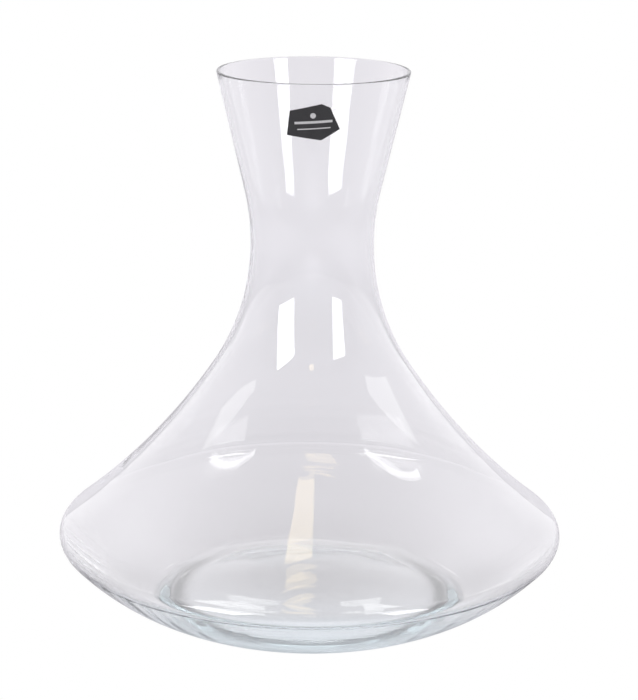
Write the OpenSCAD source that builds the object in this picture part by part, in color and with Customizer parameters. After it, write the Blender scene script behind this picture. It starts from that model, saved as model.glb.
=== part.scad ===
// Wine decanter: one blown glass vessel with a sharp-edged wide body and a flared neck,
// and a small printed label on the front of the neck.
// Millimetres, +Z up. The origin is the centre of the ring that the decanter stands on.
// The label faces -Y.

/* [Body] */
// Height from the resting plane to the top of the lip
height = 225; // [222:1:245]
// Diameter of the body at its widest line
body_d = 210; // [198:1:222]
// Height of the widest line
edge_h = 32; // [29:0.5:36]
// Radius of the rounded edge at the widest line
edge_r = 5; // [4:0.5:7]
// Lean from upright of the shoulder where it leaves the rounded edge, in degrees
shoulder_lean = 52; // [49:1:54]
// Lean from upright where the shoulder curve runs into the throat curve, in degrees
blend_lean = 34; // [30:1:37]
// How far the outline turns under the widest line before the belly curve starts, in degrees
belly_turn = 42; // [38:1:46]

/* [Neck] */
// Outer diameter of the throat, the narrowest place
throat_d = 50.2; // [48:0.2:56]
// Height of the throat
throat_h = 155; // [150:1:157]
// Outer diameter of the mouth
mouth_d = 77.6; // [70:0.2:80]

/* [Base] */
// Outer diameter of the flat ring that the decanter stands on
foot_d = 116; // [108:1:120]
// Width of that flat ring
foot_w = 5; // [3:0.5:8]
// Rounding between the flat ring and the belly
heel_r = 3; // [1:0.5:5]
// Height of the hollow under the middle of the base
punt_rise = 4.5; // [3:0.5:6]

/* [Glass] */
// Thickness of the rounded lip
lip_t = 1.2; // [1:0.1:1.6]
// Thickness of the neck wall
neck_t = 1.6; // [1.3:0.1:2]
// Thickness of the wall at the widest line and in the belly
body_t = 1.2; // [1:0.1:2]
// Height of the lowest ring of the inside floor
floor_h = 3.4; // [3:0.1:4.5]
// Rounding between the inside floor and the belly
floor_corner_r = 10; // [7:0.5:12]
// Rise of the middle of the inside floor over its lowest ring
floor_rise = 5; // [4.5:0.5:6]

/* [Label] */
// Width of the label
label_w = 20.4; // [16:0.2:24]
// Height of the label
label_h = 14.6; // [11:0.2:17]
// Distance from the top of the lip down to the middle of the label
label_drop = 15.1; // [11:0.1:20]
// Thickness of the label's adhesive
adhesive_t = 0.1; // [0.05:0.05:0.2]
// Thickness of the label's film
film_t = 0.15; // [0.1:0.05:0.3]
// Thickness of the white ink on the film
ink_t = 0.05; // [0.05:0.05:0.1]
// Slope of the printed marks, in degrees
print_slope = 4; // [0:1:8]

/* [Hidden] */
$fn = 128;

// Turn of one straight step along a curve, in degrees, and the fewest steps in a curve
curve_step = 2.5;
min_steps = 6;

// Label outline: corners as fractions of half its width and half its height
label_corners = [[-0.9, 0.6], [0.3, 1], [0.63, 0.8], [1, -0.4], [0.3, -1], [-1, -0.75]];
// Gap between the edge of the adhesive and the edge of the film, as a fraction of the label
adhesive_inset = 0.04;
// Printed marks, from the middle of the label: a plain dot over a wide bar and a thin bar
dot_up = 2.6;
dot_r = 1.1;
wide_bar = [14.6, 1];
thin_bar = [12.8, 0.45];
thin_bar_down = 2.6;

// The unit direction at angle a, as [outwards from the axis, up]
function dir(a) = [cos(a), sin(a)];

// Angle of the vector v, counted as in dir
function angle_of(v) = atan2(v[1], v[0]);

// Number of straight steps in a curve that turns by sweep degrees
function steps(sweep) = max(min_steps, ceil(abs(sweep) / curve_step));

// Points of a curve about centre c with radius r, from angle a0 to angle a1.
// The first point is left out, because it is the last point of the curve before.
function arc(c, r, a0, a1) =
    let (n = steps(a1 - a0))
    [for (i = [1:n]) c + r * dir(a0 + (a1 - a0) * i / n)];

// Rounded edge at the widest line
edge_c = [body_d / 2 - edge_r, edge_h];

// Shoulder and throat curves. Both bend outwards from the glass. They meet at blend_lean,
// and the throat curve is upright at throat_h, which fixes both radii.
shoulder_side = dir(shoulder_lean) - dir(blend_lean);
throat_side = dir(blend_lean) - dir(0);
span = [throat_d / 2, throat_h] - edge_c - edge_r * dir(shoulder_lean);
shoulder_r = cross(span, throat_side) / cross(shoulder_side, throat_side);
throat_r = cross(shoulder_side, span) / cross(shoulder_side, throat_side);
shoulder_c = edge_c + (edge_r + shoulder_r) * dir(shoulder_lean);
throat_c = [throat_d / 2 + throat_r, throat_h];

// Rounded lip, and the straight neck walls between the throat curve and the lip
lip_r = lip_t / 2;
lip_c = [mouth_d / 2 - lip_r, height - lip_r];
throat_to_lip = lip_c - throat_c;
lip_angle = angle_of(throat_to_lip);
outer_end = lip_angle + acos((throat_r + lip_r) / norm(throat_to_lip));
inner_end = lip_angle + acos((throat_r + neck_t - lip_r) / norm(throat_to_lip));

// Outside: the dome under the base, the heel, and a belly curve that touches the heel and
// leaves the rounded edge at belly_turn
punt_edge_r = foot_d / 2 - foot_w;
punt_r = (punt_edge_r * punt_edge_r + punt_rise * punt_rise) / (2 * punt_rise);
punt_c = [0, punt_rise - punt_r];
punt_edge_angle = acos(punt_edge_r / punt_r);
heel_c = [foot_d / 2, heel_r];
belly_dir = dir(-belly_turn);
heel_to_belly = edge_c + edge_r * belly_dir - heel_c;
belly_r = (heel_to_belly * heel_to_belly - heel_r * heel_r)
    / (2 * (heel_to_belly * belly_dir - heel_r));
belly_c = edge_c - (belly_r - edge_r) * belly_dir;

// Inside: the belly and the rounded edge are body_t under the outside. The shoulder runs on
// from the throat, neck_t under the outside, and touches the inside of the rounded edge.
inner_edge_r = edge_r - body_t;
inner_belly_r = belly_r - body_t;
inner_throat_r = throat_r + neck_t;
blend_dir = dir(blend_lean);
edge_to_blend = throat_c - inner_throat_r * blend_dir - edge_c;
inner_shoulder_r = (edge_to_blend * edge_to_blend - inner_edge_r * inner_edge_r)
    / (2 * (inner_edge_r - edge_to_blend * blend_dir));
inner_shoulder_c = throat_c + (inner_shoulder_r - inner_throat_r) * blend_dir;

// Inside: the floor's corner touches the belly wall and the floor's dome
corner_h = floor_h + floor_corner_r;
corner_reach = inner_belly_r - floor_corner_r;
corner_drop = belly_c[1] - corner_h;
corner_c = [belly_c[0] + sqrt(corner_reach * corner_reach - corner_drop * corner_drop), corner_h];
dome_drop = floor_corner_r - floor_rise;
dome_r = (corner_c[0] * corner_c[0] + dome_drop * dome_drop - floor_corner_r * floor_corner_r)
    / (2 * floor_rise);
dome_c = [0, floor_h + floor_rise - dome_r];
dome_end = angle_of(corner_c - dome_c);

// Belly, rounded edge, shoulder, throat and neck, as far as the lip, from the radius of each
// curve. The belly starts at the angle start and the throat curve ends at the angle end.
function body_wall(belly, edge, shoulder_at, shoulder, throat, start, end) =
    let (lean = angle_of(shoulder_at - edge_c))
    concat(
        arc(belly_c, belly, start, -belly_turn),
        arc(edge_c, edge, -belly_turn, 0),
        arc(edge_c, edge, 0, lean),
        arc(shoulder_at, shoulder, 180 + lean, 180 + blend_lean),
        arc(throat_c, throat, 180 + blend_lean, 180),
        arc(throat_c, throat, 180, end)
    );

// Outline of the outside, from the edge of the hollow under the base to the lip
heel_end = angle_of(heel_c - belly_c);
outside = concat(
    [[punt_edge_r, 0], [foot_d / 2, 0]],
    arc(heel_c, heel_r, -90, heel_end),
    body_wall(belly_r, edge_r, shoulder_c, shoulder_r, throat_r, heel_end, outer_end),
    [lip_c + lip_r * dir(outer_end - 180)]
);

// Outline of the inside, from the middle of the floor to the lip
corner_end = angle_of(corner_c - belly_c);
inside = concat(
    [dome_c + dome_r * dir(90)],
    arc(dome_c, dome_r, 90, dome_end),
    arc(corner_c, floor_corner_r, dome_end - 180, corner_end),
    body_wall(
        inner_belly_r, inner_edge_r, inner_shoulder_c, inner_shoulder_r, inner_throat_r,
        corner_end, inner_end
    ),
    [lip_c + lip_r * dir(inner_end)]
);

// The order of points turned round
function reversed(points) = [for (i = [len(points) - 1:-1:0]) points[i]];

// Half of the glass, cut through its axis
glass_outline = concat(
    outside,
    arc(lip_c, lip_r, outer_end - 180, 90),
    arc(lip_c, lip_r, 90, inner_end),
    [for (i = [1:len(inside) - 1]) reversed(inside)[i]],
    [punt_c + punt_r * dir(90)],
    arc(punt_c, punt_r, 90, punt_edge_angle)
);

// The vessel: neck, shoulder, belly and base in one piece of glass
module glass_body() {
    color([0.86, 0.88, 0.91, 0.45])
        rotate_extrude()
            polygon(glass_outline);
}

// Height of the middle of the label
label_mid_h = height - label_drop;

// Points of the straight outer neck wall: where it leaves the throat curve, and at the lip
neck_low = throat_c + throat_r * dir(outer_end);
neck_high = lip_c + lip_r * dir(outer_end - 180);
neck_out = dir(outer_end - 180);

// A thin skin on the straight outer wall of the neck, from depth t0 to depth t1 over the glass
module neck_skin(t0, t1) {
    rotate_extrude()
        polygon([
            neck_low + t0 * neck_out,
            neck_high + t0 * neck_out,
            neck_high + t1 * neck_out,
            neck_low + t1 * neck_out
        ]);
}

// Keeps the part of a skin that lies behind a flat shape on the front of the neck. The flat
// shape is drawn as seen from the front, about the middle of the label.
module on_front() {
    translate([0, 0, label_mid_h])
        rotate([90, 0, 0])
            linear_extrude(height = mouth_d)
                children();
}

// The label's outline, smaller by the fraction inset
module label_shape(inset = 0) {
    half = [label_w / 2, label_h / 2] * (1 - inset);
    polygon([for (c = label_corners) [c[0] * half[0], c[1] * half[1]]]);
}

// Plain marks that stand for the label's printing
module print_shape() {
    rotate(print_slope) {
        translate([0, dot_up])
            circle(r = dot_r);
        square(wide_bar, center = true);
        translate([0, -thin_bar_down])
            square(thin_bar, center = true);
    }
}

// Clear adhesive between the glass and the label
module label_adhesive() {
    color([0.8, 0.8, 0.78, 0.6])
        intersection() {
            neck_skin(0, adhesive_t);
            on_front() label_shape(adhesive_inset);
        }
}

// Matt black film of the label
module label_film() {
    color([0.12, 0.12, 0.13])
        intersection() {
            neck_skin(adhesive_t, adhesive_t + film_t);
            on_front() label_shape();
        }
}

// White ink on the film
module label_print() {
    color([0.93, 0.93, 0.93])
        intersection() {
            neck_skin(adhesive_t + film_t, adhesive_t + film_t + ink_t);
            on_front() print_shape();
        }
}

glass_body();
label_adhesive();
label_film();
label_print();
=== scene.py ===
import math

import bmesh
import bpy
import numpy as np
from mathutils import Matrix, Vector

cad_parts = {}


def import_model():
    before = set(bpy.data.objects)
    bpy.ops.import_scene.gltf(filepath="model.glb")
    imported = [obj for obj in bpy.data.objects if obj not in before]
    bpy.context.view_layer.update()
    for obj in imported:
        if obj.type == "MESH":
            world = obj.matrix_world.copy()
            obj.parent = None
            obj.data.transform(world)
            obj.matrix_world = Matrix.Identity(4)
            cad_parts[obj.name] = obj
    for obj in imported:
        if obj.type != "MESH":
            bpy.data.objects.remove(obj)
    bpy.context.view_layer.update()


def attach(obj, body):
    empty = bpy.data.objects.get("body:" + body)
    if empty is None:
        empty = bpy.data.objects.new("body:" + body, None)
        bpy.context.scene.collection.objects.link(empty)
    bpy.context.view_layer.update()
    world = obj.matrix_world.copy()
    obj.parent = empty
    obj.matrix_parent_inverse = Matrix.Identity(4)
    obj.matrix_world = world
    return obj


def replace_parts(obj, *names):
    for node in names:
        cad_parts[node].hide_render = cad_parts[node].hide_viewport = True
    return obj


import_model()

MM = 0.001

# ---------------------------------------------------------------- driving dimensions
# Body, in mm and degrees
HEIGHT = 225.0
BODY_R = 105.0
EDGE_H = 32.0
EDGE_R = 5.0
SHOULDER_LEAN = 52.0
BLEND_LEAN = 34.0
BELLY_TURN = 42.0

# Neck and base, in mm
THROAT_R = 25.1
THROAT_H = 155.0
MOUTH_R = 38.8
FOOT_R = 58.0
FOOT_W = 5.0
HEEL_R = 3.0
PUNT_RISE = 4.5

# Glass, in mm
LIP_T = 1.2
NECK_T = 1.6
BODY_T = 1.2
FLOOR_H = 3.4
FLOOR_RISE = 5.0
FLOOR_CORNER_R = 10.0

# Label, in mm. Its corners are shares of half its width and half its height.
LABEL_W = 20.4
LABEL_H = 14.6
LABEL_DROP = 15.1
LABEL_CORNERS = [(-0.9, 0.6), (0.3, 1), (0.63, 0.8), (1, -0.4), (0.3, -1), (-1, -0.75)]
ADHESIVE_T = 0.1
ADHESIVE_INSET = 0.04
FILM_T = 0.15
INK_T = 0.05

# Space that keeps the adhesive's mesh off the glass's mesh, in mm
GAP = 0.01

# Printed marks, in mm and degrees: a dot over a wide bar and a thin bar
PRINT_SLOPE = 4.0
DOT_UP = 2.6
DOT_R = 1.1
DOT_STEP = 10
WIDE_BAR = (14.6, 1.0)
THIN_BAR = (12.8, 0.45)
THIN_BAR_DOWN = 2.6

# ---------------------------------------------------------------- waves of blown glass
# Seed of the random phases and twists
WAVE_SEED = 11

# Broad waves: depth in mm of a wave with one lobe, then for each wave the number of lobes and
# its twist in radians for each mm of height
WAVE_DEPTH = 0.12
BROAD_WAVES = ((2, 0.02), (3, 0.035), (5, 0.05), (7, 0.03))

# Rings inside the shoulder: depth in mm, spacing in mm and windings of each, and the radii
# and heights in mm between which they fade in
RING_DEPTH = 0.014
RINGS = ((17.0, 1), (11.0, -2), (7.5, 1))
RING_FROM_R = (45, 75)
RING_FROM_H = (34, 44)

# Radial ripple at the widest line: depth in mm at -X and its share at +X, numbers of lobes,
# most twist in radians for each mm outwards, and where it fades in and out
FAN_DEPTH = 0.075
FAN_SHARE = 0.4
FAN_LOBES = (47, 61, 74, 90)
FAN_TWIST = 0.06
FAN_FROM_R = (80, 92)
FAN_TO_H = (27, 33)

# The waves die out over this many rings under the lip, and over this radius in mm at the axis
LIP_RINGS = 10
AXIS_FADE = 30

# ---------------------------------------------------------------- fineness of the meshes
# Steps around the axis, then for a curve the fewest steps, and the most degrees and mm in one
ROUND_STEPS = 300
FEWEST_STEPS = 3
CURVE_STEP = 4.5
LONGEST = 3.0

# Width in mm of the cells that bend the label round the neck
LABEL_CELL = 0.5

# ---------------------------------------------------------------- looks
# Glass: clearness, refraction, and the slight blue-green that its thickness adds
GLASS_CLEAR = 0.98
GLASS_IOR = 1.52
GLASS_TINT = (0.2, 0.62, 0.7, 1)
TINT_DENSITY = 4.0

# Draw marks of the neck: bump depth and the heights between which they fade in, in metres,
# then how fine they are around the glass, and how much a metre of height changes them
DRAW_DEPTH = 0.00004
DRAW_FROM_H = (0.05, 0.12)
DRAW_SCALE = 5.0
DRAW_UP = 5.0
SOFT_DETAIL = 1.0

# Least distance from the axis that a direction is worked out from, in metres
AXIS_R = 0.004

# Fine turned rings of the belly: share of the draw marks' depth, scale, change across the
# body, and the radii and heights between which they fade in, in metres
BELLY_RING_SHARE = 0.35
BELLY_RING_SCALE = 330.0
BELLY_RING_DRIFT = 0.03
BELLY_RING_R = (0.058, 0.07)
BELLY_RING_H = (0.034, 0.024)

# Most of a noise texture's values lie between these two
NOISE_RANGE = (0.3, 0.7)

# Label: the two colours that each layer varies between, and the ends of its roughness
FILM_COLOURS = ((0.022, 0.022, 0.024, 1), (0.036, 0.036, 0.038, 1))
FILM_ROUGHNESS = (0.5, 0.68)
INK_COLOURS = ((0.62, 0.62, 0.62, 1), (0.86, 0.86, 0.85, 1))
INK_ROUGHNESS = (0.4, 0.6)
ADHESIVE_COLOURS = ((0.8, 0.8, 0.76, 1), (0.92, 0.92, 0.89, 1))
ADHESIVE_ROUGHNESS = (0.05, 0.12)
ADHESIVE_CLEAR = 0.97
ADHESIVE_IOR = 1.47

# Scales of the label's grain, rubbing, speckle and flow, and bump depths in metres
GRAIN_SCALE = 5200.0
RUB_SCALE = 260.0
SPECKLE_SCALE = 4200.0
FLOW_SCALE = 900.0
FINE_DETAIL = 3.0
GRAIN_DEPTH = 0.00003
FAINT_DEPTH = 0.00002

# ---------------------------------------------------------------- studio, in metres
FLOOR_HALF = 6.0
FLOOR_DOWN = 0.0001
FLOOR_LEVEL = 0.845
FLOOR_COLOUR = (0.99, 0.965, 1.02, 1)

# Painted shade and light on the floor, as soft round spots: middle x and y, size, and change of
# brightness. They are painted shadows under the foot and the body, a painted pool of light in
# front, and painted shade at the sides.
PAINTED_FLOOR_SPOTS = (
    (0, 0.015, 0.055, -0.24),
    (0, 0.02, 0.19, -0.25),
    (0, -0.19, 0.065, 1.2),
    (-0.122, -0.030, 0.028, -0.30),
    (-0.090, 0.008, 0.028, -0.18),
    (0.122, -0.030, 0.028, -0.20),
    (0.088, 0.008, 0.030, -0.18),
)

# Painted light on the floor before the object, in place of light that came through the glass.
# GLOW_ACROSS is under 1, which makes it wider than deep.
GLOW_Y = -0.07
GLOW_SIZE = 0.055
GLOW_ACROSS = 0.55
GLOW_GAIN = 0.1
GLOW_COLOUR = (0.91, 0.98, 1.05, 1)

# Thin shade where the foot stands: radius, width, loss of brightness, and its fade at middle x
CONTACT_R = (FOOT_R - FOOT_W / 2) * MM
CONTACT_WIDTH = 0.0035
CONTACT_LOSS = 0.42
CONTACT_FADE = (0.035, 0.055, 0.25, 1.0)

# Painted shade that fades the floor: from, to, and the brightness at both
FRONT_FADE = (-0.75, -0.25, 0.5, 1.0)
LEFT_FADE = (-1.0, -0.4, 0.75, 1.0)
RIGHT_FADE = (0.5, 1.4, 1.0, 0.75)

# Fades of the room from front to back, low down and high up, and where the two meet. They go
# by the y and z of the unit vector towards each place.
ROOM_LOW = (-0.9, 0.7, 0.45, 1.15)
ROOM_HIGH = (-0.8, 0.9, 0.75, 1.8)
ROOM_RISE = (0.25, 0.72)
ROOM_COLOUR = (0.985, 0.97, 1.0, 1)

# Cards stand at CARD_DISTANCE from the middle of the object
MIDDLE = Vector((0, 0, 0.13))
CARD_DISTANCE = 2.0
WHITE = (1, 1, 1)
WARM = (1.0, 0.85, 0.58)
WARM_STRENGTH = 3.2

# Bright cards: name, strength, colour, and the (azimuth, elevation) of each corner
CARDS = (
    ("softbox_left", 5.5, WHITE, [(-57, 8), (-31, 6), (-24, 31), (-49.5, 35)]),
    ("softbox_right", 5.5, WHITE, [(35, 5), (53, 6), (50, 28), (33, 32)]),
    ("side_left", 2.2, WHITE, [(-106, 27), (-76, 33), (-76, 37), (-106, 31)]),
    ("side_right", 2.2, WHITE, [(76, 31), (106, 22), (108, 29), (76, 37)]),
    ("lamp_left", 3.6, WHITE, [(-168.5, 23), (-175.5, 28.5), (-175, 31), (-168.5, 26)]),
    ("lamp_right", 3.6, WHITE, [(169.3, 24.7), (174.3, 27.6), (173.8, 29.8), (169, 27)]),
    ("bar_left", 4.0, WHITE, [(-96, 36), (-60, 49), (-60, 49.8), (-96, 37)]),
    ("bar_right", 4.0, WHITE, [(99, 36), (60, 48.4), (60, 49.4), (99, 37)]),
    ("board", WARM_STRENGTH, WARM, [(-13, 60), (5, 60), (3, 70.2), (-27, 70.2)]),
)

# Warm oval fittings about the board: from and to azimuth, from and to elevation
FITTINGS = (
    (-28, 9, 72.2, 74.3),
    (-34, 8, 75.2, 76.1),
    (-43, 3, 77.4, 78.2),
    (-3, 4, 35.5, 38.5),
)
OVAL_STEP = 30

# Camera: focal length and long side of the photo in pixels, sensor in mm, place and near
# limit in metres, and turns in radians
FOCAL_PX = 2113.4
PHOTO_SIDE_PX = 700
SENSOR = 36.0
CAMERA_AT = (-0.0016, -0.840, 0.3464)
CAMERA_NEAR = 0.01
PITCH = 0.2754
YAW = 0.0057
ROLL = 0.0099

# Light goes through many layers of glass, and is reflected fewer times
GLASS_BOUNCES = 160
GLOSSY_BOUNCES = 16


# ---------------------------------------------------------------- outline of the glass
def direction(angle):
    """Unit vector at an angle in degrees, as (outwards, up)."""
    return np.array([math.cos(math.radians(angle)), math.sin(math.radians(angle))])


def cross2(a, b):
    return a[0] * b[1] - a[1] * b[0]


def angle_of(v):
    return math.degrees(math.atan2(v[1], v[0]))


def arc(centre, radius, a0, a1):
    """Points along a curve, without its first point. No step is longer than LONGEST mm."""
    turn = abs(a1 - a0)
    length = math.radians(turn) * radius
    n = max(FEWEST_STEPS, math.ceil(turn / CURVE_STEP), math.ceil(length / LONGEST))
    return [centre + radius * direction(a0 + (a1 - a0) * i / n) for i in range(1, n + 1)]


def line(a, b):
    """Points along a straight line, without its first point."""
    n = max(1, math.ceil(float(np.hypot(*(b - a))) / LONGEST))
    return [a + (b - a) * i / n for i in range(1, n + 1)]


class Outline:
    """Half of the glass, cut through its axis, made of the same tangent curves as the CAD."""

    def __init__(self):
        self.edge_c = np.array([BODY_R - EDGE_R, EDGE_H])
        side = direction(SHOULDER_LEAN) - direction(BLEND_LEAN)
        throat_side = direction(BLEND_LEAN) - direction(0)
        span = np.array([THROAT_R, THROAT_H]) - self.edge_c - EDGE_R * direction(SHOULDER_LEAN)
        self.shoulder_r = cross2(span, throat_side) / cross2(side, throat_side)
        self.throat_r = cross2(side, span) / cross2(side, throat_side)
        self.shoulder_c = self.edge_c + (EDGE_R + self.shoulder_r) * direction(SHOULDER_LEAN)
        self.throat_c = np.array([THROAT_R + self.throat_r, THROAT_H])
        self.lip_r = LIP_T / 2
        self.lip_c = np.array([MOUTH_R - self.lip_r, HEIGHT - self.lip_r])
        self.outer_end = self.throat_end(self.throat_r + self.lip_r)
        self.inner_end = self.throat_end(self.throat_r + NECK_T - self.lip_r)
        self.heel_c = np.array([FOOT_R, HEEL_R])
        self.belly_c, self.belly_r = self.belly_curve()
        self.inner_shoulder_c, self.inner_shoulder_r = self.inner_shoulder()
        self.corner_c = self.floor_corner()

    def throat_end(self, reach):
        """Angle at which the throat curve runs into the straight wall up to the lip."""
        to_lip = self.lip_c - self.throat_c
        return angle_of(to_lip) + math.degrees(math.acos(reach / float(np.hypot(*to_lip))))

    def belly_curve(self):
        """The curve that leaves the rounded edge at BELLY_TURN and touches the heel."""
        u = direction(-BELLY_TURN)
        w = self.edge_c + EDGE_R * u - self.heel_c
        radius = (w @ w - HEEL_R**2) / (2 * (w @ u - HEEL_R))
        return self.edge_c - (radius - EDGE_R) * u, radius

    def inner_shoulder(self):
        """Runs on from the inner throat curve and touches the inside of the rounded edge."""
        u = direction(BLEND_LEAN)
        start = self.throat_c - (self.throat_r + NECK_T) * u
        w = start - self.edge_c
        r = EDGE_R - BODY_T
        radius = (w @ w - r**2) / (2 * (r - w @ u))
        return start + radius * u, radius

    def floor_corner(self):
        """Centre of the rounding between the inside floor and the inside of the belly."""
        corner_h = FLOOR_H + FLOOR_CORNER_R
        reach = self.belly_r - BODY_T - FLOOR_CORNER_R
        across = math.sqrt(reach**2 - (self.belly_c[1] - corner_h) ** 2)
        return np.array([self.belly_c[0] + across, corner_h])

    def body_wall(self, belly, edge, shoulder, low_c, neck_t, end):
        """Belly, edge, shoulder, throat and neck, from (centre, radius) of the first three."""
        low = angle_of(low_c - belly[0])
        lean = angle_of(shoulder[0] - edge[0])
        throat_r = self.throat_r + neck_t
        side = -1 if neck_t == 0 else 1
        return (
            arc(*belly, low, -BELLY_TURN)
            + arc(*edge, -BELLY_TURN, 0)
            + arc(*edge, 0, lean)
            + arc(*shoulder, 180 + lean, 180 + BLEND_LEAN)
            + arc(self.throat_c, throat_r, 180 + BLEND_LEAN, 180)
            + arc(self.throat_c, throat_r, 180, end)
            + line(
                self.throat_c + throat_r * direction(end),
                self.lip_c + side * self.lip_r * direction(end),
            )
        )

    def outside(self):
        """From the foot ring's inner edge up to the lip."""
        low = angle_of(self.heel_c - self.belly_c)
        foot = [np.array([FOOT_R - FOOT_W, 0.0])]
        foot += line(foot[0], np.array([FOOT_R, 0.0]))
        foot += arc(self.heel_c, HEEL_R, -90, low)
        belly = (self.belly_c, self.belly_r)
        edge = (self.edge_c, EDGE_R)
        shoulder = (self.shoulder_c, self.shoulder_r)
        return foot + self.body_wall(belly, edge, shoulder, self.heel_c, 0, self.outer_end)

    def inside(self):
        """From the middle of the inside floor up to the lip."""
        drop = FLOOR_CORNER_R - FLOOR_RISE
        dome_r = (self.corner_c[0] ** 2 + drop**2 - FLOOR_CORNER_R**2) / (2 * FLOOR_RISE)
        dome_c = np.array([0.0, FLOOR_H + FLOOR_RISE - dome_r])
        dome_end = angle_of(self.corner_c - dome_c)
        low = angle_of(self.corner_c - self.belly_c)
        belly = (self.belly_c, self.belly_r - BODY_T)
        edge = (self.edge_c, EDGE_R - BODY_T)
        shoulder = (self.inner_shoulder_c, self.inner_shoulder_r)
        return (
            [dome_c + dome_r * direction(90)]
            + arc(dome_c, dome_r, 90, dome_end)
            + arc(self.corner_c, FLOOR_CORNER_R, dome_end - 180, low)
            + self.body_wall(belly, edge, shoulder, self.corner_c, NECK_T, self.inner_end)
        )

    def lip(self):
        """Over the rounded lip, without its last point, where the inside starts."""
        outer_half = arc(self.lip_c, self.lip_r, self.outer_end - 180, 90)
        return outer_half + arc(self.lip_c, self.lip_r, 90, self.inner_end)[:-1]

    def punt(self):
        """The hollow under the base, from its middle out."""
        edge = FOOT_R - FOOT_W
        radius = (edge**2 + PUNT_RISE**2) / (2 * PUNT_RISE)
        centre = np.array([0.0, PUNT_RISE - radius])
        end = math.degrees(math.acos(edge / radius))
        return [centre + radius * direction(90)] + arc(centre, radius, 90, end)[:-1]

    def closed(self):
        """From the middle of the punt out, up the outside, over the lip and down the inside."""
        return np.array(self.punt() + self.outside() + self.lip() + self.inside()[::-1])

    def first_inside(self):
        """Place of the inside's first point among the closed outline's points off the axis."""
        return len(self.punt() + self.outside() + self.lip()) - 1


# ---------------------------------------------------------------- meshes
def new_object(name, mesh, material):
    obj = bpy.data.objects.new(name, mesh)
    bpy.context.scene.collection.objects.link(obj)
    mesh.materials.append(material)
    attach(obj, "root")
    return obj


def smooth_step(x, low, high):
    t = np.clip((x - low) / (high - low), 0, 1)
    return t * t * (3 - 2 * t)


def blown_waves(r, z, turn):
    """Depth in mm of the slight waves that blowing leaves inside the glass."""
    rng = np.random.default_rng(WAVE_SEED)
    depth = np.zeros_like(r)
    for lobes, twist in BROAD_WAVES:
        phase = rng.uniform(0, 2 * math.pi)
        depth += WAVE_DEPTH / lobes * np.sin(lobes * turn + twist * z + phase)
    shoulder = smooth_step(r, *RING_FROM_R) * smooth_step(z, *RING_FROM_H)
    for spacing, windings in RINGS:
        phase = rng.uniform(0, 2 * math.pi)
        wave = np.sin(2 * math.pi * r / spacing + windings * turn + phase)
        depth += shoulder * RING_DEPTH * wave
    fan = smooth_step(r, *FAN_FROM_R) * (1 - smooth_step(z, *FAN_TO_H))
    balance = (1 + FAN_SHARE) / 2 - (1 - FAN_SHARE) / 2 * np.cos(turn)
    swell = np.cos(turn) ** 2 * balance
    for lobes in FAN_LOBES:
        phase = rng.uniform(0, 2 * math.pi)
        twist = rng.uniform(-FAN_TWIST, FAN_TWIST)
        depth += fan * swell * FAN_DEPTH * np.sin(lobes * turn + twist * r + phase)
    return depth


def wave_share(rings, first_inside):
    """Share of the waves on each ring: 0 outside, at the lip and at the axis, 1 elsewhere."""
    place = np.arange(len(rings))
    inside = (place >= first_inside) * 1.0
    under_lip = smooth_step(place * inside, first_inside, first_inside + LIP_RINGS)
    return inside * under_lip * smooth_step(rings[:, 0], 0, AXIS_FADE)


def turned_faces(count):
    """Four-sided faces between rings, and a fan to one more point at each end."""
    here = np.arange(ROUND_STEPS)
    after = (here + 1) % ROUND_STEPS
    rows = np.arange(count - 1)[:, None] * ROUND_STEPS
    above = rows + ROUND_STEPS
    quads = np.stack([rows + here, rows + after, above + after, above + here], axis=-1)
    faces = quads.reshape(-1, 4).tolist()
    last = (count - 1) * ROUND_STEPS
    low = count * ROUND_STEPS
    high = low + 1
    faces += [(low, int(b), int(a)) for a, b in zip(here, after)]
    faces += [(high, int(last + a), int(last + b)) for a, b in zip(here, after)]
    return faces


def lathe(name, points, first_inside):
    """A closed mesh turned from a half outline whose first and last points are on the axis.

    The surface from the ring first_inside on is the inside, which has slight waves.
    """
    rings = points[1:-1]
    turns = np.linspace(0, 2 * math.pi, ROUND_STEPS, endpoint=False)
    r = np.repeat(rings[:, :1], ROUND_STEPS, axis=1)
    z = np.repeat(rings[:, 1:2], ROUND_STEPS, axis=1)
    along = points[2:] - points[:-2]
    along /= np.hypot(along[:, 0], along[:, 1])[:, None]
    depth = blown_waves(r, z, turns[None, :]) * wave_share(rings, first_inside)[:, None]
    r = r + depth * along[:, 1:2]
    z = z - depth * along[:, 0:1]
    verts = np.stack([r * np.cos(turns), r * np.sin(turns), z], axis=-1).reshape(-1, 3)
    ends = [[0, 0, points[0, 1]], [0, 0, points[-1, 1]]]
    mesh = bpy.data.meshes.new(name)
    mesh.from_pydata((np.vstack([verts, ends]) * MM).tolist(), [], turned_faces(len(rings)))
    mesh.polygons.foreach_set("use_smooth", [True] * len(mesh.polygons))
    mesh.update()
    return mesh


def cut_into_cells(bm, cell):
    """Cuts flat shapes in the XZ plane along a square grid, without a sliver at the end."""
    for axis in (0, 2):
        ends = [v.co[axis] for v in bm.verts]
        for cut in np.arange(min(ends) + cell, max(ends) - cell / 4, cell):
            at = Vector((0, 0, 0))
            normal = Vector((0, 0, 0))
            at[axis] = cut
            normal[axis] = 1
            parts = bm.verts[:] + bm.edges[:] + bm.faces[:]
            bmesh.ops.bisect_plane(bm, geom=parts, plane_co=at, plane_no=normal)


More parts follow.
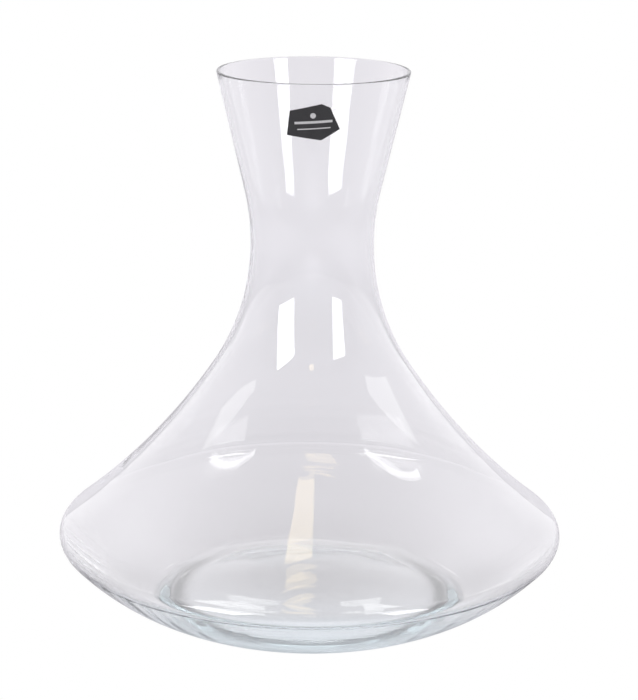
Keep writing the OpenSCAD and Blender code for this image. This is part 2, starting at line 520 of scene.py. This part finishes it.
def neck_plate(outline, name, shapes, t0, t1):
    """Flat shapes on the front of the neck, from depth t0 to t1 over the outer glass.

    A shape is a list of (across, up) from the middle of the label, as seen from the front.
    """
    out = direction(outline.outer_end - 180)
    low = outline.throat_c + outline.throat_r * direction(outline.outer_end)
    bm = bmesh.new()
    for shape in shapes:
        bm.faces.new([bm.verts.new((x, 0, up)) for x, up in shape])
    cut_into_cells(bm, LABEL_CELL)
    raised = bmesh.ops.extrude_face_region(bm, geom=bm.faces[:])["geom"]
    raised = {v for v in raised if isinstance(v, bmesh.types.BMVert)}
    for v in bm.verts:
        x, z = v.co.x, HEIGHT - LABEL_DROP + v.co.z
        glass_r = low[0] - (z - low[1]) * out[1] / out[0]
        radius = glass_r + (t1 if v in raised else t0) / out[0]
        v.co = (x * MM, -math.sqrt(radius**2 - x**2) * MM, z * MM)
    bmesh.ops.recalc_face_normals(bm, faces=bm.faces[:])
    mesh = bpy.data.meshes.new(name)
    bm.to_mesh(mesh)
    bm.free()
    return mesh


def label_shape(inset=0.0):
    w, h = LABEL_W / 2 * (1 - inset), LABEL_H / 2 * (1 - inset)
    return [(w * x, h * up) for x, up in LABEL_CORNERS]


def sloped(points):
    """Turned by the slope of the printed marks."""
    c, s = direction(PRINT_SLOPE)
    return [(c * x - s * up, s * x + c * up) for x, up in points]


def print_shapes():
    """Plain marks that stand for the label's printing: a dot over two bars."""
    dot = [DOT_R * direction(a) + np.array([0, DOT_UP]) for a in range(0, 360, DOT_STEP)]
    shapes = [sloped(dot)]
    for (w, h), down in ((WIDE_BAR, 0.0), (THIN_BAR, THIN_BAR_DOWN)):
        corners = [(-w / 2, -h / 2), (w / 2, -h / 2), (w / 2, h / 2), (-w / 2, h / 2)]
        shapes.append(sloped([(x, up - down) for x, up in corners]))
    return shapes


# ---------------------------------------------------------------- materials
class Graph:
    """Short names for the nodes of one node tree."""

    def __init__(self, tree):
        self.nodes = tree.nodes
        self.links = tree.links

    def put(self, socket, value):
        """Links another socket to this one, or sets a plain value on it."""
        if isinstance(value, bpy.types.NodeSocket):
            self.links.new(value, socket)
        else:
            socket.default_value = value

    def math(self, operation, *values):
        node = self.nodes.new("ShaderNodeMath")
        node.operation = operation
        for socket, value in zip(node.inputs, values):
            self.put(socket, value)
        return node.outputs[0]

    def add(self, a, b):
        return self.math("ADD", a, b)

    def times(self, a, b):
        return self.math("MULTIPLY", a, b)

    def radius(self, x, y):
        return self.math("SQRT", self.add(self.times(x, x), self.times(y, y)))

    def map_range(self, kind, *values):
        node = self.nodes.new("ShaderNodeMapRange")
        node.interpolation_type = kind
        names = ("Value", "From Min", "From Max", "To Min", "To Max")
        for name, value in zip(names, values):
            self.put(node.inputs[name], value)
        return node.outputs[0]

    def smooth(self, value, low, high, at_low=0.0, at_high=1.0):
        """at_low before low, at_high past high, and a smooth step between them."""
        return self.map_range("SMOOTHSTEP", value, low, high, at_low, at_high)

    def ranged(self, value, low, high):
        """A noise value, spread from its usual range to low to high."""
        return self.map_range("LINEAR", value, *NOISE_RANGE, low, high)

    def spot(self, x, y, cx, cy, width):
        """A soft round spot about (cx, cy)."""
        dx, dy = self.add(x, -cx), self.add(y, -cy)
        square = self.add(self.times(dx, dx), self.times(dy, dy))
        return self.math("EXPONENT", self.times(square, -1 / width**2))

    def split(self, vector):
        node = self.nodes.new("ShaderNodeSeparateXYZ")
        self.links.new(vector, node.inputs[0])
        return node.outputs

    def join(self, *values):
        node = self.nodes.new("ShaderNodeCombineXYZ")
        for socket, value in zip(node.inputs, values):
            self.put(socket, value)
        return node.outputs[0]

    def place(self):
        """Position on the piece, in metres."""
        return self.nodes.new("ShaderNodeTexCoord").outputs["Object"]

    def noise(self, vector, scale, detail=2.0):
        node = self.nodes.new("ShaderNodeTexNoise")
        node.inputs["Scale"].default_value = scale
        node.inputs["Detail"].default_value = detail
        self.links.new(vector, node.inputs["Vector"])
        return node.outputs["Fac"]

    def mix(self, factor, a, b):
        """The colour a, turning to b as factor goes from 0 to 1."""
        node = self.nodes.new("ShaderNodeMix")
        node.data_type = "RGBA"
        self.put(node.inputs["Factor"], factor)
        node.inputs["A"].default_value = a
        node.inputs["B"].default_value = b
        return node.outputs["Result"]

    def normal(self, height, distance):
        """A normal that is bumped by a height of 0 to 1 over a distance in metres."""
        node = self.nodes.new("ShaderNodeBump")
        node.inputs["Distance"].default_value = distance
        self.links.new(height, node.inputs["Height"])
        return node.outputs[0]


def new_material(name, **values):
    """A material, its graph and its shader's inputs, with these plain values set on them."""
    mat = bpy.data.materials.new(name)
    mat.use_nodes = True
    inputs = mat.node_tree.nodes["Principled BSDF"].inputs
    for key, value in values.items():
        inputs[key.replace("_", " ")].default_value = value
    return mat, Graph(mat.node_tree), inputs


def grained(g, inputs, colours, grain, roughness, wear, depth):
    """Colour and bump that vary with the noise grain, and roughness with the noise wear."""
    g.put(inputs["Base Color"], g.mix(g.ranged(grain, 0.0, 1.0), *colours))
    g.put(inputs["Roughness"], g.ranged(wear, *roughness))
    g.put(inputs["Normal"], g.normal(grain, depth))


def draw_marks(g, x, y, z, r):
    """Faint lengthwise marks in the neck, which fade out down the shoulder."""
    around = g.join(g.math("DIVIDE", x, r), g.math("DIVIDE", y, r), g.times(z, DRAW_UP))
    return g.times(g.noise(around, DRAW_SCALE, SOFT_DETAIL), g.smooth(z, *DRAW_FROM_H))


def belly_rings(g, x, z, r):
    """Fine turned rings in the belly, which stay clear of the base."""
    place = g.join(r, z, g.times(x, BELLY_RING_DRIFT))
    rings = g.noise(place, BELLY_RING_SCALE, SOFT_DETAIL)
    return g.times(rings, g.times(g.smooth(r, *BELLY_RING_R), g.smooth(z, *BELLY_RING_H)))


def glass_material():
    """Clear blown glass with draw marks, fine belly rings and a slight blue-green."""
    mat, g, inputs = new_material(
        "clear_blown_glass",
        Base_Color=(1, 1, 1, 1),
        Roughness=0.0,
        IOR=GLASS_IOR,
        Transmission_Weight=GLASS_CLEAR,
    )
    x, y, z = g.split(g.place())
    r = g.math("MAXIMUM", g.radius(x, y), AXIS_R)
    marks = g.add(draw_marks(g, x, y, z, r), g.times(belly_rings(g, x, z, r), BELLY_RING_SHARE))
    g.put(inputs["Normal"], g.normal(marks, DRAW_DEPTH))
    tint = g.nodes.new("ShaderNodeVolumeAbsorption")
    tint.inputs["Color"].default_value = GLASS_TINT
    tint.inputs["Density"].default_value = TINT_DENSITY
    g.put(g.nodes["Material Output"].inputs["Volume"], tint.outputs[0])
    return mat


def adhesive_material():
    """Clear adhesive with the fine flow marks of a pressed-on label."""
    mat, g, inputs = new_material(
        "clear_adhesive", Transmission_Weight=ADHESIVE_CLEAR, IOR=ADHESIVE_IOR
    )
    flow = g.noise(g.place(), FLOW_SCALE)
    grained(g, inputs, ADHESIVE_COLOURS, flow, ADHESIVE_ROUGHNESS, flow, FAINT_DEPTH)
    return mat


def film_material():
    """Matt black label stock: a fine grain and slight rubbing."""
    mat, g, inputs = new_material("matt_black_film")
    place = g.place()
    grain = g.noise(place, GRAIN_SCALE, FINE_DETAIL)
    rubbing = g.noise(place, RUB_SCALE)
    grained(g, inputs, FILM_COLOURS, grain, FILM_ROUGHNESS, rubbing, GRAIN_DEPTH)
    return mat


def ink_material():
    """White ink with a fine speckle."""
    mat, g, inputs = new_material("white_label_ink")
    speckle = g.noise(g.place(), SPECKLE_SCALE, FINE_DETAIL)
    grained(g, inputs, INK_COLOURS, speckle, INK_ROUGHNESS, speckle, FAINT_DEPTH)
    return mat


# ---------------------------------------------------------------- the pieces
def make_glass(outline):
    name = "decanter_glass"
    mesh = lathe(name, outline.closed(), outline.first_inside())
    glass = new_object(name, mesh, glass_material())
    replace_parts(glass, "glass_body")


def make_label(outline):
    """Adhesive, film and ink, each on top of the one before."""
    # Name, flat shapes, thickness, material, its slot, and the CAD node that it replaces
    layers = (
        (
            "neck_label_adhesive", [label_shape(ADHESIVE_INSET)], ADHESIVE_T,
            adhesive_material, "clear_adhesive", "label_adhesive",
        ),
        ("neck_label_film", [label_shape()], FILM_T, film_material, "black_label_film", "label_film"),
        ("neck_label_print", print_shapes(), INK_T, ink_material, "white_label_ink", "label_print"),
    )
    low = GAP
    high = 0.0
    for name, shapes, thickness, make, slot, node in layers:
        high += thickness
        mesh = neck_plate(outline, name, shapes, low, high)
        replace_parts(new_object(name, mesh, make()), node)
        low = high


# ---------------------------------------------------------------- the studio
def heading(azimuth, elevation):
    """Direction from the object. Azimuth is 0 towards the camera and 90 to its right."""
    a, e = math.radians(azimuth), math.radians(elevation)
    return Vector((math.sin(a) * math.cos(e), -math.cos(a) * math.cos(e), math.sin(e)))


def stage_object(name, points, material=None):
    """A flat part of the studio with an empty material, and that material's graph.

    The material takes the part's name, unless it has one of its own.
    """
    mesh = bpy.data.meshes.new(name)
    mesh.from_pydata([tuple(v) for v in points], [], [tuple(range(len(points)))])
    obj = bpy.data.objects.new(name, mesh)
    bpy.context.scene.collection.objects.link(obj)
    mat = bpy.data.materials.new(material or name)
    mat.use_nodes = True
    mat.node_tree.nodes.clear()
    mesh.materials.append(mat)
    return obj, Graph(mat.node_tree)


def card(name, strength, colour, corners):
    """A flat bright card, given by the headings of its corners. Only reflections show it."""
    obj, g = stage_object(name, [MIDDLE + CARD_DISTANCE * heading(*c) for c in corners])
    glow = g.nodes.new("ShaderNodeEmission")
    glow.inputs["Color"].default_value = (*colour, 1)
    glow.inputs["Strength"].default_value = strength
    out = g.nodes.new("ShaderNodeOutputMaterial")
    g.put(out.inputs["Surface"], glow.outputs[0])
    obj.visible_camera = False
    obj.visible_diffuse = False
    obj.visible_shadow = False


def cards():
    for each in CARDS:
        card(*each)
    turns = [direction(a) for a in range(0, 360, OVAL_STEP)]
    for i, (a0, a1, e0, e1) in enumerate(FITTINGS):
        oval = [((a0 + a1 + (a1 - a0) * c) / 2, (e0 + e1 + (e1 - e0) * s) / 2) for c, s in turns]
        card(f"fitting_{i}", WARM_STRENGTH, WARM, oval)


def white_to_camera(g, room, output):
    """Plain white where the camera looks straight at it, and the room's light elsewhere."""
    mix = g.nodes.new("ShaderNodeMixShader")
    path = g.nodes.new("ShaderNodeLightPath")
    seen = g.nodes.new(room.bl_idname)
    seen.inputs["Color"].default_value = (*WHITE, 1)
    g.put(mix.inputs[0], path.outputs["Is Camera Ray"])
    g.put(mix.inputs[1], room.outputs[0])
    g.put(mix.inputs[2], seen.outputs[0])
    g.put(g.nodes.new(output).inputs["Surface"], mix.outputs[0])


def world():
    """A pale cove behind and above the object, and a dim room behind the camera."""
    w = bpy.data.worlds.new("studio")
    bpy.context.scene.world = w
    w.use_nodes = True
    w.node_tree.nodes.clear()
    g = Graph(w.node_tree)
    _, y, z = g.split(g.nodes.new("ShaderNodeTexCoord").outputs["Generated"])
    rise = g.smooth(z, *ROOM_RISE)
    low = g.times(g.smooth(y, *ROOM_LOW), g.math("SUBTRACT", 1.0, rise))
    high = g.times(g.smooth(y, *ROOM_HIGH), rise)
    room = g.nodes.new("ShaderNodeBackground")
    room.inputs["Color"].default_value = ROOM_COLOUR
    g.put(room.inputs["Strength"], g.add(low, high))
    white_to_camera(g, room, "ShaderNodeOutputWorld")


def floor_light(g, x, y, glow):
    """Painted brightness of the floor near the object: its painted shades, bright pool and glow."""
    light = g.add(g.times(glow, GLOW_GAIN), FLOOR_LEVEL)
    # Painted shadows under the foot and body, a painted pool of light, and painted shade at the sides
    for at_x, at_y, size, change in PAINTED_FLOOR_SPOTS:
        light = g.add(light, g.times(g.spot(x, y, at_x, at_y, size), change))
    # Painted thin shadow where the foot stands
    ring = g.spot(g.radius(x, y), 0, CONTACT_R, 0, CONTACT_WIDTH)
    sides = g.smooth(g.math("ABSOLUTE", x), *CONTACT_FADE)
    return g.add(light, g.times(g.times(ring, sides), -CONTACT_LOSS))


def floor():
    """A pale floor, with painted shade that makes it dimmer towards the front and the sides.

    Painted light, in place of light that came through the glass, tints it a little just before
    the object.
    """
    r, z = FLOOR_HALF, -FLOOR_DOWN
    corners = [(-r, -r, z), (r, -r, z), (r, r, z), (-r, r, z)]
    _, g = stage_object("floor", corners, "pale_floor")
    x, y, _ = g.split(g.nodes.new("ShaderNodeNewGeometry").outputs["Position"])
    # Painted light before the object, in place of light that came through the glass
    glow = g.spot(g.times(x, GLOW_ACROSS), y, 0, GLOW_Y, GLOW_SIZE)
    # Painted shade towards the front and the sides
    sides = g.times(g.smooth(x, *LEFT_FADE), g.smooth(x, *RIGHT_FADE))
    painted_fade = g.times(g.smooth(y, *FRONT_FADE), sides)
    room = g.nodes.new("ShaderNodeEmission")
    g.put(room.inputs["Color"], g.mix(glow, FLOOR_COLOUR, GLOW_COLOUR))
    g.put(room.inputs["Strength"], g.times(floor_light(g, x, y, glow), painted_fade))
    white_to_camera(g, room, "ShaderNodeOutputMaterial")


def camera():
    data = bpy.data.cameras.new("camera")
    data.sensor_width = SENSOR
    data.lens = FOCAL_PX * SENSOR / PHOTO_SIDE_PX
    data.clip_start = CAMERA_NEAR
    cam = bpy.data.objects.new("camera", data)
    bpy.context.scene.collection.objects.link(cam)
    turn = (
        Matrix.Rotation(-YAW, 4, "Z")
        @ Matrix.Rotation(math.pi / 2 - PITCH, 4, "X")
        @ Matrix.Rotation(ROLL, 4, "Z")
    )
    cam.matrix_world = Matrix.Translation(CAMERA_AT) @ turn
    bpy.context.scene.camera = cam


def render_look():
    scene = bpy.context.scene
    scene.view_settings.view_transform = "Standard"
    scene.view_settings.look = "None"
    scene.cycles.max_bounces = GLASS_BOUNCES
    scene.cycles.transmission_bounces = GLASS_BOUNCES
    scene.cycles.glossy_bounces = GLOSSY_BOUNCES


decanter = Outline()
make_glass(decanter)
make_label(decanter)
camera()
world()
floor()
cards()
render_look()
